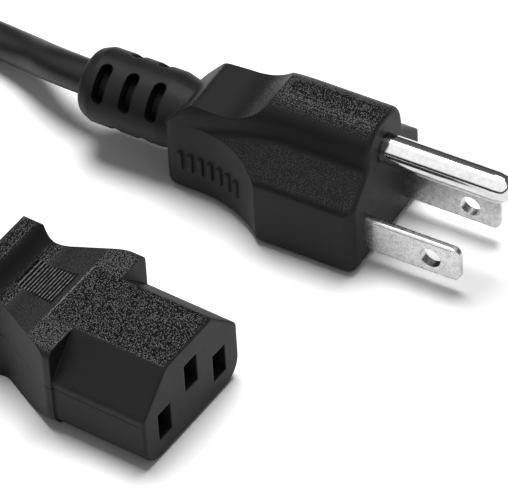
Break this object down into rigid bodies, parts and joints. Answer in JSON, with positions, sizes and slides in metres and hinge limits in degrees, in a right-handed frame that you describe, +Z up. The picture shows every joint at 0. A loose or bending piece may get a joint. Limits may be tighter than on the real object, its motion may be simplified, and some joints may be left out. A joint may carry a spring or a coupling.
{
  "type": "type b plug with power cord",
  "caption": "Moulded Type B mains plug with flat blades and a round earth pin, on a round black cord that ends in an appliance connector.",
  "frame": {"origin": "on the floor under the middle of the plug, halfway between the earth pin's nose and the strain relief's end", "axes": "+X along the pins out of the mating face, +Z up from the plug's flat underside, +Y to the neutral blade's side"},
  "size_m": [0.2078, 0.095, 0.024],
  "materials": {
    "moulding": "black PVC, spark-eroded grain on the outer faces",
    "pins": "nickel-plated brass",
    "holder": "black hard plastic",
    "line_insulation": "black PVC",
    "neutral_insulation": "white PVC",
    "earth_insulation": "green PVC",
    "copper": "bare copper strands",
    "contacts": "plain brass strip",
    "cord": "black PVC jacket",
    "tie": "black plastic strap"
  },
  "bodies": {
    "root": {"plug_body": "moulding", "line_blade": "pins", "neutral_blade": "pins", "earth_pin": "pins", "blade_holder": "holder", "plug_line_wire": "line_insulation", "plug_neutral_wire": "neutral_insulation", "plug_earth_wire": "earth_insulation", "plug_line_strands": "copper", "plug_neutral_strands": "copper", "plug_earth_strands": "copper", "connector_body": "moulding", "contact_carrier": "holder", "line_contact": "contacts", "neutral_contact": "contacts", "earth_contact": "contacts", "connector_line_wire": "line_insulation", "connector_neutral_wire": "neutral_insulation", "connector_earth_wire": "earth_insulation", "connector_line_strands": "copper", "connector_neutral_strands": "copper", "connector_earth_strands": "copper", "plug_lead": "cord", "connector_lead": "cord", "cord_coil": "cord", "coil_tie": "tie"}
  },
  "joints": []
}
